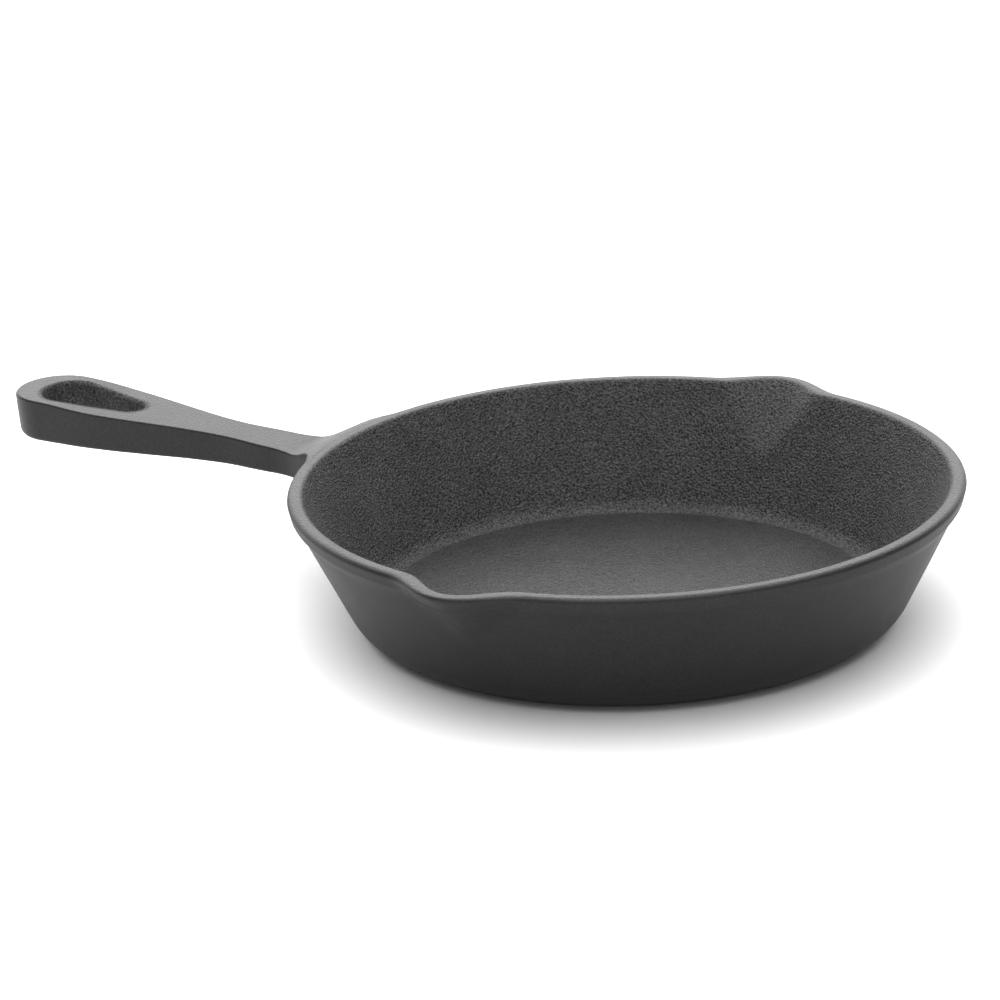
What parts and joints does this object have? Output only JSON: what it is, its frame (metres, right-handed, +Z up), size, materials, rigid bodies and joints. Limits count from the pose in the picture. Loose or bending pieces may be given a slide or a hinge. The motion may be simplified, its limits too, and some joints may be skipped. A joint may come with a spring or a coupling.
{
  "type": "cast iron skillet",
  "caption": "Shallow cast iron frying pan with a flared wall, opposed pour spouts and a long handle that ends in a hanging eye.",
  "frame": {"origin": "centre of the flat base, on the surface the pan stands on, under the middle of the pan's bowl", "axes": "+Z up out of the bowl; the handle points along -X; the pour spouts point along +Y (pour_spout_left, seen from the handle) and -Y (pour_spout_right)"},
  "size_m": [0.3249, 0.2198, 0.0441],
  "materials": {
    "floor_iron": "pre-seasoned, fine smooth sand-cast grain, low sheen",
    "wall_iron": "pre-seasoned, pebbly sand-cast grain, low sheen",
    "rim_iron": "pre-seasoned, speckled sand-cast grain, worn smoother on top",
    "handle_iron": "pre-seasoned, speckled sand-cast grain, matt"
  },
  "bodies": {
    "root": {"pan_floor": "floor_iron", "sidewall": "wall_iron", "rim": "rim_iron", "pour_spout_left": "wall_iron", "pour_spout_right": "wall_iron", "handle_root": "handle_iron", "handle_shank": "handle_iron", "hanging_eye": "handle_iron"}
  },
  "joints": []
}
